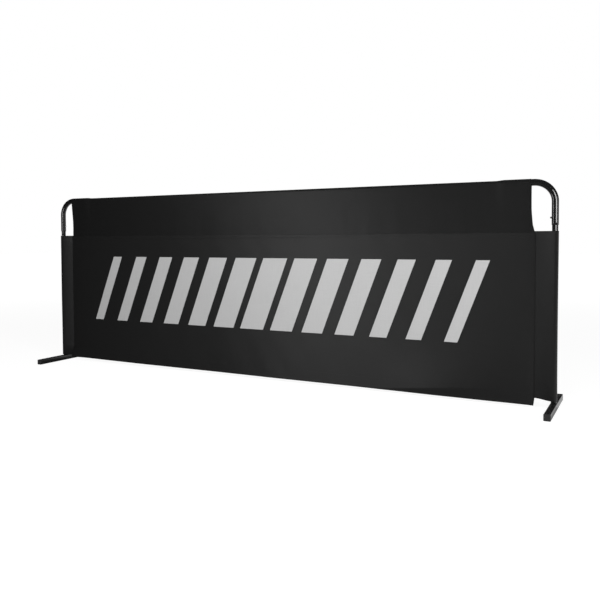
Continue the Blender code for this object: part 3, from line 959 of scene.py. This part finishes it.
def sleeve_sections(side, sign):
    """Rows of a sleeve from its lower edge to its top, as (share of height, inset, height, section)."""
    sewn = FOLD_REACH[sign] - SLEEVE_LAP
    rows = []
    low = SLEEVE_LOW[side][1]
    for rise, inset in hemmed(spread(0.0, *SLEEVE_UP), SLEEVE_HEM, SLEEVE_HEM):
        z = low + rise * (SLEEVE_TOP[side] - low)
        under = 1 + smoothstep(SEAM_Z - SEAM_LAP - SLEEVE_TUCK, SEAM_Z - SEAM_LAP, z)
        seam = panel_y(fold_x(sign), z) + 2 * TURN * under
        section = loop_section((sewn, seam), (sewn, seam + TURN), POST_X, POST_RADIUS + CLOTH)
        rows.append((rise, inset, z, section))
    return rows


def make_sleeve(side, sign, cloth):
    """Sleeve round a post, hemmed at both ends and sewn behind the panel's edge."""
    fold = FOLD_REACH[sign]
    rows, places = [], []
    for rise, inset, z, section in sleeve_sections(side, sign):
        lengths = loop_lengths(section)
        row, spots = [], []
        for index, (reach, y, inward) in enumerate(section):
            lift = (1 - smoothstep(fold, POST_X, reach)) * (SLEEVE_LOW[side][0] - SLEEVE_LOW[side][1])
            height = z + lift * (1 - rise)
            flat = math.sin(math.pi * min(1.0, max(0.0, (reach - fold) / (POST_X - fold))))
            bulge = curve_through(SLEEVE_BULGE[side], height)
            soft = bulge * flat * (1 + SLEEVE_SOFT * ripple(reach, height, SLEEVE_WAVES, sign))
            shift = inset - soft
            grown = smoothstep(POST_X - SLACK_GROWS[0], POST_X + SLACK_GROWS[1], reach)
            loose = curve_through(SLEEVE_SLACK[side], z) * grown
            row.append((sign * (reach + inward.x * shift + loose), y + inward.y * shift, height))
            spots.append((lengths[index], height))
        rows.append(row)
        places.append(spots)
    if sign < 0:
        rows.reverse()
        places.reverse()
    name = "sleeve_cloth_" + side
    sleeve = shown(name, grid_mesh(name, rows, places), cloth)
    thicken(sleeve, CLOTH)
    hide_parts("cover_sleeve_" + side)
    return sleeve


# Stitches


def stitch_row(name, path, thread):
    """Row of stitches along a path of (point, outward) pairs that lie on the cloth's face."""
    work = bmesh.new()
    travelled, due = 0.0, STITCH_PITCH / 2
    for (start, out), (end, _) in zip(path, path[1:]):
        length = (end - start).length
        while length > 0 and due <= travelled + length:
            share = (due - travelled) / length
            along = (end - start) / length
            add_stitch(work, start.lerp(end, share), along, out)
            due += STITCH_PITCH
        travelled += length
    mesh = mesh_of(name, work)
    mesh.shade_smooth()
    return shown(name, mesh, thread)


def add_stitch(work, middle, along, out):
    """One stitch: a short thread that dives into the cloth at both ends."""
    across = along.cross(out).normalized()
    up = across.cross(along).normalized()
    rings = []
    for place_share, size_share, out_share in STITCH_RINGS:
        centre = middle + along * (place_share * STITCH_LENGTH) + up * (out_share * THREAD)
        ring = []
        for side in range(STITCH_SIDES):
            angle = 2 * math.pi * side / STITCH_SIDES
            spoke = across * math.cos(angle) + up * math.sin(angle)
            ring.append(work.verts.new(centre + spoke * (THREAD * size_share)))
        rings.append(ring)
    tips = [work.verts.new(middle + along * (half * STITCH_LENGTH) - up * THREAD) for half in (-0.5, 0.5)]
    for side in range(STITCH_SIDES):
        after = (side + 1) % STITCH_SIDES
        work.faces.new((tips[0], rings[0][after], rings[0][side]))
        work.faces.new((tips[1], rings[2][side], rings[2][after]))
    for first, second in zip(rings, rings[1:]):
        join_rings(work, second, first)


def on_panel(x, z):
    """Point on the panel's front face, with the direction outward."""
    return Vector((x, panel_y(x, z) - CLOTH / 2, z)), Vector((0.0, -1.0, 0.0))


def along_panel(z_of):
    """Path along the panel from fold to fold, at the height that z_of gives for each x."""
    return [on_panel(x, z_of(x)) for x in evenly(fold_x(-1) + ROW_INSET, fold_x(1) - ROW_INSET, 320)]


def up_panel(sign):
    """Path up the panel's side, beside the fold."""
    share = sign * (1 - SIDE_ROW_INSET / FOLD_REACH[sign])
    low = hem_z(share * FOLD_REACH[sign]) + SIDE_ROW_MARGIN
    heights = evenly(low, SEAM_Z - SIDE_ROW_MARGIN, 90)
    return [on_panel(share * panel_half(share, z), z) for z in heights]


def make_stitches(thread):
    """Every row of stitches on the cover."""
    upper = along_panel(lambda x: SEAM_Z - SEAM_ROW_UPPER)
    lower = along_panel(lambda x: SEAM_Z - SEAM_ROW_LOWER)
    hem = along_panel(lambda x: hem_z(x) + HEM_DEPTH - ROW_INSET)
    rows = [
        stitch_row("seam_stitches_upper", upper, thread),
        stitch_row("seam_stitches_lower", lower, thread),
        stitch_row("hem_stitches", hem, thread),
    ]
    for side, sign in SIDES:
        rows.append(stitch_row("side_stitches_" + side, up_panel(sign), thread))
    return rows


# Tubes, feet and small parts


def elbow_skin():
    """Right-hand elbow's outer skin: down leg, quarter turn and across leg, about its bend."""
    bend_steps, leg_steps = 24, 6
    low, end = ELBOW_LOW.z - BEND_Z, ELBOW_LOW.x - BEND_X
    path = [(BEND_RADIUS, z, 0.0) for z in evenly(low, 0.0, leg_steps)[:-1]]
    for angle in evenly(0.0, math.pi / 2, bend_steps):
        path.append((BEND_RADIUS * math.cos(angle), BEND_RADIUS * math.sin(angle), angle))
    path += [(x, BEND_RADIUS, math.pi / 2) for x in evenly(0.0, end, leg_steps)[1:]]
    work = bmesh.new()
    rings = []
    side_way = Vector((0.0, 1.0, 0.0))
    for x, z, angle in path:
        out = Vector((math.cos(angle), 0.0, math.sin(angle)))
        ring = []
        for around in evenly(0.0, 2 * math.pi, TUBE_SIDES)[:-1]:
            spoke = out * math.cos(around) + side_way * math.sin(around)
            ring.append(work.verts.new(Vector((x, 0.0, z)) + spoke * ELBOW_RADIUS))
        rings.append(ring)
    for first, second in zip(rings, rings[1:]):
        join_rings(work, first, second)
    bmesh.ops.recalc_face_normals(work, faces=work.faces)
    return work


def make_elbow(side, sign, paint):
    """Bent corner tube with eased ends and the hole for its snap button."""
    work = elbow_skin()
    turn = Matrix.Identity(4) if sign > 0 else Matrix.Rotation(math.pi, 4, "Z")
    work.transform(Matrix.Translation((sign * BEND_X, 0.0, BEND_Z)) @ turn)
    name = "elbow_tube_" + side
    elbow = shown(name, mesh_of(name, work), paint)
    wall = thicken(elbow, ELBOW_WALL, -1.0)
    wall.use_even_offset = True
    ease = elbow.modifiers.new("ease", "BEVEL")
    ease.width = TUBE_LIP
    ease.segments = 2
    ease.limit_method = "ANGLE"
    ease.angle_limit = math.radians(60)
    apply_modifiers(elbow)
    drill_for_button(elbow, sign, ELBOW_RADIUS, ELBOW_WALL)
    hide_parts("elbow_" + side)
    return elbow


def make_post(side, sign, paint):
    """Upright tube, plugged into its elbow."""
    name = "post_tube_" + side
    mesh = turned(name, lipped_tube(POST_RADIUS, TUBE_WALL, POST_LOW.z, POST_HIGH.z), TUBE_SIDES)
    mesh.transform(Matrix.Translation((sign * POST_X, 0.0, 0.0)))
    post = shown(name, mesh, paint)
    drill_for_button(post, sign, POST_RADIUS, TUBE_WALL)
    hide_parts("post_" + side)
    return post


def make_button(side, sign, steel):
    """Domed snap button of a post's joint."""
    seat = POST_X - BUTTON_HIGH.x
    shoulder = seat + BUTTON_FLANGE_THICKNESS
    flange = BUTTON_RADIUS + BUTTON_FLANGE
    profile = [(POINT, BUTTON_TIP)]
    for angle in evenly(0.0, math.pi / 2, 8)[1:]:
        drop = BUTTON_DOME * (1 - math.cos(angle))
        profile.append((BUTTON_RADIUS * math.sin(angle), BUTTON_TIP - drop))
    profile += [(BUTTON_RADIUS, shoulder), (flange, shoulder), (flange, seat), (POINT, seat)]
    name = "snap_button_" + side
    mesh = turned(name, profile, 32)
    aim = Matrix.Rotation(-sign * math.pi / 2, 4, "Y")
    mesh.transform(Matrix.Translation((sign * POST_X, 0.0, BUTTON_Z)) @ aim)
    button = shown(name, mesh, steel, "post_button_" + side)
    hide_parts("post_button_" + side)
    return button


def make_spring(where, side, steel):
    """Hairpin spring, copied from its node with its edges eased; where its legs would go with its button is
    worked out but not applied.
    """
    node = where + "_spring_" + side
    button = where + "_button_" + side
    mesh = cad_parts[node].data.copy()
    mesh.name = "hairpin_" + node
    mesh.materials.clear()
    mesh.materials.append(steel)
    spring = linked("hairpin_" + node, mesh)
    bevel = spring.modifiers.new("edges", "BEVEL")
    bevel.width = SPRING_EDGE
    bevel.limit_method = "ANGLE"
    apply_modifiers(spring)
    low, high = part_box(node)
    pushed = sum(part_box(button), Vector()) / 2
    wall, leg = (low + high) / 2, (low + high) / 2
    across = 0 if where == "post" else 2
    if pushed[across] > wall[across]:
        wall[across], leg[across] = low[across], high[across]
    else:
        wall[across], leg[across] = high[across], low[across]
    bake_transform(spring)
    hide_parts(node)


def rounded_outline(side, corner):
    """Square outline with rounded corners, centred on zero."""
    points = []
    inset = side / 2 - corner
    for quarter in range(4):
        start = quarter * math.pi / 2
        middle = start + math.pi / 4
        centre = (math.copysign(inset, math.cos(middle)), math.copysign(inset, math.sin(middle)))
        for angle in evenly(start, start + math.pi / 2, 6):
            points.append((centre[0] + corner * math.cos(angle), centre[1] + corner * math.sin(angle)))
    return points


def lofted(name, sections, capped):
    """Solid through sections of (outline, y), all with as many points."""
    work = bmesh.new()
    rings = [[work.verts.new((u, y, v)) for u, v in outline] for outline, y in sections]
    pairs = list(zip(rings, rings[1:]))
    if not capped:
        pairs.append((rings[-1], rings[0]))
    for first, second in pairs:
        join_rings(work, first, second)
    if capped:
        work.faces.new(rings[0])
        work.faces.new(rings[-1])
    return solid_of(name, work)


def make_foot(side, sign, paint):
    """Square tube across the barrier, with eased ends."""
    outer = rounded_outline(FOOT_SIDE, FOOT_CORNER)
    eased = rounded_outline(FOOT_SIDE - TUBE_LIP, FOOT_CORNER - TUBE_LIP / 2)
    inner = rounded_outline(FOOT_SIDE - 2 * TUBE_WALL, FOOT_CORNER - TUBE_WALL)
    front, back = FOOT_LOW.y, FOOT_HIGH.y
    lip = TUBE_LIP / 2
    sections = [(eased, front)] + [(outer, y) for y in evenly(front + lip, back - lip, 10)]
    sections += [(eased, back), (inner, back), (inner, front)]
    name = "foot_tube_" + side
    mesh = lofted(name, sections, capped=False)
    mesh.transform(Matrix.Translation((sign * POST_X, 0.0, FOOT_SIDE / 2)))
    foot = shown(name, mesh, paint, "foot_" + side)
    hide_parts("foot_" + side)
    return foot


def make_plug(side, sign, end, way, plastic):
    """Moulded cap that closes one end of a foot."""
    name = "foot_plug_{}_{}".format(side, end)
    low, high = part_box(name)
    face, seat = (low.y, FOOT_LOW.y) if way < 0 else (high.y, FOOT_HIGH.y)
    tail = high.y if way < 0 else low.y
    step = way * PLUG_ROUND
    rim = face + (seat - face) * PLUG_RIM_SHARE
    skirt = rounded_outline(FOOT_SIDE - 2 * TUBE_WALL - PLUG_FIT, PLUG_FIT)
    sections = []
    for narrower, corner, way_in in PLUG_NOSE:
        sections.append((rounded_outline(FOOT_SIDE - narrower, corner), face - step * way_in))
    sections += [
        (rounded_outline(FOOT_SIDE, FOOT_CORNER), rim - step * 0.2),
        (rounded_outline(FOOT_SIDE - PLUG_FIT, FOOT_CORNER), rim),
        (skirt, rim),
        (skirt, tail),
    ]
    mesh = lofted(name, sections, capped=True)
    mesh.transform(Matrix.Translation((sign * POST_X, 0.0, FOOT_SIDE / 2)))
    plug = shown("plug_cap_{}_{}".format(side, end), mesh, plastic, "foot_" + side)
    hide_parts(name)
    return plug


def make_spigot(side, sign, paint):
    """Stub tube on the foot with the ripples of its weld bead."""
    bore = SPIGOT_RADIUS - SPIGOT_WALL
    profile = [(SPIGOT_RADIUS - SPIGOT_LIP, SPIGOT_TOP), (SPIGOT_RADIUS, SPIGOT_TOP - SPIGOT_LIP)]
    first = len(profile)
    for angle in evenly(0.0, math.pi / 2, BEAD_STEPS):
        reach = SPIGOT_RADIUS + BEAD * (1 - math.cos(angle))
        profile.append((reach, SPIGOT_BASE + BEAD * (1 - math.sin(angle))))
    profile += [(bore, SPIGOT_BASE), (bore, SPIGOT_TOP)]

    def ripples(index, angle):
        on_bead = first < index < first + BEAD_STEPS
        return BEAD_RIPPLE * math.sin(BEAD_RIPPLES * angle) if on_bead else 0.0

    name = "spigot_tube_" + side
    mesh = turned(name, profile, 96, ripples)
    mesh.transform(Matrix.Translation((sign * POST_X, 0.0, 0.0)))
    spigot = shown(name, mesh, paint, "foot_" + side)
    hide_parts("foot_spigot_" + side)
    return spigot


def finish_node(name, material):
    """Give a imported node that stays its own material."""
    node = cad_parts[name]
    node.data.materials.clear()
    node.data.materials.append(material)


# Studio


def make_camera():
    """Camera at the photograph's place and angle."""
    data = bpy.data.cameras.new("camera")
    data.sensor_width = 36.0
    data.lens = CAMERA_LENS
    data.shift_x, data.shift_y = CAMERA_SHIFT
    data.clip_start, data.clip_end = 0.01, 100.0
    camera = linked("camera", data)
    turn = Matrix.Rotation(CAMERA_YAW, 4, "Z") @ Matrix.Rotation(math.pi / 2 - CAMERA_PITCH, 4, "X")
    camera.matrix_world = Matrix.Translation(CAMERA_AT) @ turn @ Matrix.Rotation(CAMERA_ROLL, 4, "Z")
    bpy.context.scene.camera = camera


def softbox(name, place, aim, size, power, tilt=0.0, mirrored=True, matte=True):
    """Rectangular lamp aimed at a point, turned about its own axis by tilt.

    One that isn't mirrored leaves no highlight, and one that isn't matte leaves nothing else.
    """
    data = bpy.data.lights.new(name, "AREA")
    data.shape = "RECTANGLE"
    data.size, data.size_y = size
    data.energy = power
    lamp = linked(name, data)
    look = (Vector(aim) - Vector(place)).to_track_quat("-Z", "Y").to_matrix().to_4x4()
    lamp.matrix_world = Matrix.Translation(place) @ look @ Matrix.Rotation(math.radians(tilt), 4, "Z")
    lamp.visible_camera = False
    lamp.visible_glossy = mirrored
    lamp.visible_diffuse = matte
    return lamp


def only_on(lamp, pieces):
    """Let a lamp reach some pieces alone, as flags around it do in a studio."""
    reached = bpy.data.collections.new(lamp.name + "_reaches")
    for piece in pieces:
        reached.objects.link(piece)
    lamp.light_linking.receiver_collection = reached


def seen_or_mirrored(tree):
    """One for rays that show the backdrop: from the camera, off gloss or through glass."""
    path = tree.add("ShaderNodeLightPath").outputs
    mirrored = tree.math("MAXIMUM", path["Is Glossy Ray"], path["Is Transmission Ray"])
    return path["Is Camera Ray"], mirrored


def make_world():
    """White backdrop behind the barrier, a dark studio in front of it, and a soft fill."""
    world = bpy.data.worlds.new("studio")
    bpy.context.scene.world = world
    world.use_nodes = True
    tree = Tree(world.node_tree)
    background = world.node_tree.nodes["Background"]
    camera, mirrored = seen_or_mirrored(tree)
    direction = tree.add("ShaderNodeTexCoord").outputs["Generated"]
    parts = tree.add("ShaderNodeSeparateXYZ", {"Vector": direction}).outputs
    behind = tree.span(parts["Y"], *BACKDROP_BEHIND)
    low_band = tree.math("MULTIPLY", behind, tree.span(parts["Z"], *BACKDROP_HEIGHT))
    backdrop = tree.math("MULTIPLY", mirrored, low_band)
    fill = tree.math("MULTIPLY_ADD", mirrored, DARK_STUDIO - FILL, FILL)
    level = tree.math("MAXIMUM", tree.math("MAXIMUM", fill, backdrop), camera)
    background.inputs["Color"].default_value = grey(1.0)
    tree.feed(background.inputs["Strength"], level)


def make_floor():
    """Plain white floor that keeps a faint shadow of the barrier, and whose mirrored level carries a painted
    shadow beside the feet.
    """
    bpy.ops.mesh.primitive_plane_add(size=FLOOR_SIZE, location=(0.0, 0.0, 0.0))
    floor = bpy.context.object
    floor.name = "floor"
    material = bpy.data.materials.new("floor")
    material.use_nodes = True
    tree = Tree(material.node_tree)
    shader = material.node_tree.nodes["Principled BSDF"]
    shader.inputs["Base Color"].default_value = grey(FLOOR_GREY)
    shader.inputs["Roughness"].default_value = 0.9
    shader.inputs["Specular IOR Level"].default_value = 0.0
    shader.inputs["Emission Color"].default_value = grey(1.0)
    camera, mirrored = seen_or_mirrored(tree)
    place = tree.add("ShaderNodeNewGeometry").outputs["Position"]
    parts = tree.add("ShaderNodeSeparateXYZ", {"Vector": place}).outputs
    distance = tree.add("ShaderNodeVectorMath", {0: place}, operation="LENGTH").outputs["Value"]
    seen = tree.math("MULTIPLY", camera, tree.span(distance, *FLOOR_PALES, FLOOR_NEAR, 1.0))
    past_end = tree.span(parts["X"], *FLOOR_BEYOND_X)
    beyond = tree.math("MULTIPLY", past_end, tree.span(parts["Y"], *FLOOR_BEYOND_Y))
    bright = tree.math("MAXIMUM", tree.span(parts["Y"], *FLOOR_BEHIND), beyond)
    # Painted shadow: the mirrored level is darkened beside each foot, for its contact shadow.
    for near, far, change in FLOOR_SHADOW_BESIDE_FEET:
        beside = tree.math("MULTIPLY", tree.span(parts["X"], *near), tree.span(parts["X"], *far))
        bright = tree.math("MULTIPLY", bright, tree.math("MULTIPLY_ADD", beside, change, 1.0))
    mirror = tree.math("MULTIPLY", mirrored, bright)
    tree.feed(shader.inputs["Emission Strength"], tree.math("MAXIMUM", seen, mirror))
    floor.data.materials.append(material)
    return floor


def light_everything():
    """The two lamps that give the level of every piece, without highlights."""
    softbox("key_right", (2.8, -1.93, 1.43), RIGHT_ELBOW, (0.85, 1.5), power=52.0, mirrored=False)
    softbox("front_fill", (0.5, -1.8, 1.1), COVER_MIDDLE, (1.2, 1.0), power=17.0, mirrored=False)


def light_cloth(cover, below_seam, others):
    """Sheen of the cloth: a narrow lamp at the left, and a wide one that the pocket is kept from."""
    strip = softbox("strip_left", (-0.95, -2.4, 0.62), (0.0, 0.0, 0.4), (0.45, 1.3), power=10.0, tilt=29.0)
    only_on(strip, cover + others)
    soft = softbox("front_soft", (-0.15, -1.8, 1.0), COVER_MIDDLE, (1.5, 1.0), power=3.4)
    only_on(soft, below_seam + others)


def light_tubes(tubes):
    """Highlights of the glossy tubes, each lamp placed where its tubes mirror it."""
    left, right = tubes["left"], tubes["right"]
    shines = (
        ("key_shine", (2.75, -2.05, 1.12), RIGHT_ELBOW, (0.95, 1.8), 92.0, 12.0, right),
        ("side_shine", (3.5, -0.53, 0.8), RIGHT_ELBOW, (0.8, 1.4), 10.0, 0.0, right),
        ("room_shine", (1.2, -1.1, 0.7), (-1.0, 0.0, 0.6), (2.4, 1.2), 9.0, 0.0, left),
        ("strip_shine", (-1.0, -1.5, 0.62), (0.0, 0.0, 0.6), (0.3, 1.2), 15.0, 0.0, left + right),
    )
    for name, place, aim, size, power, tilt, reached in shines:
        only_on(softbox(name, place, aim, size, power, tilt, matte=False), reached)


def make_cover():
    """The four cloth pieces of the cover with their stitches; all of it, and what hangs below its seam."""
    # One cloth in three copies: the unprinted copy worn by the pocket has a darker level than the panel's
    # and sleeves', painted shade for the darker band above the seam.
    printed = cover_cloth("cover_cloth_printed", level=0.0117, gloss=0.47, printed=True)
    plain = cover_cloth("cover_cloth_plain_painted_shade", level=0.0105, gloss=0.50)
    sleeve_cloth = cover_cloth("cover_cloth_sleeve", level=0.0120, gloss=0.50)
    thread = sewing_thread()
    panel = make_panel(printed, plain)
    pocket = make_pocket(plain)
    stitches = make_stitches(thread)
    below_seam = [panel] + stitches
    for side, sign in SIDES:
        sleeve = make_sleeve(side, sign, sleeve_cloth)
        below_seam.append(sleeve)
    return below_seam + [pocket], below_seam


def make_frame():
    """Tubes and feet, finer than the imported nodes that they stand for; the tubes by side, and the feet."""
    paint = gloss_paint("frame_paint", level=0.010, roughness=0.13, wear=0.10)
    foot_paint = gloss_paint("foot_paint", level=0.012, roughness=0.16, wear=0.30)
    plastic = moulded_plastic()
    zinc = bright_steel("zinc_steel", level=0.55, roughness=0.32)
    spring = bright_steel("spring_steel", level=0.38, roughness=0.38)
    tubes, feet = {}, []
    for side, sign in SIDES:
        button = make_button(side, sign, zinc)
        spigot = make_spigot(side, sign, foot_paint)
        tubes[side] = [make_elbow(side, sign, paint), make_post(side, sign, paint), button, spigot]
        feet.append(make_foot(side, sign, foot_paint))
        feet += [make_plug(side, sign, end, way, plastic) for end, way in ENDS]
        finish_node("rail_" + side, paint)
        finish_node("rail_button_" + side, zinc)
        for where in ("post", "rail"):
            make_spring(where, side, spring)
    finish_node("rail_splice", zinc)
    return tubes, feet


make_camera()
make_world()
floor = make_floor()
tubes, feet = make_frame()
cover, below_seam = make_cover()
light_everything()
light_cloth(cover, below_seam, feet + [floor])
light_tubes(tubes)
bpy.context.scene.view_settings.view_transform = "Standard"
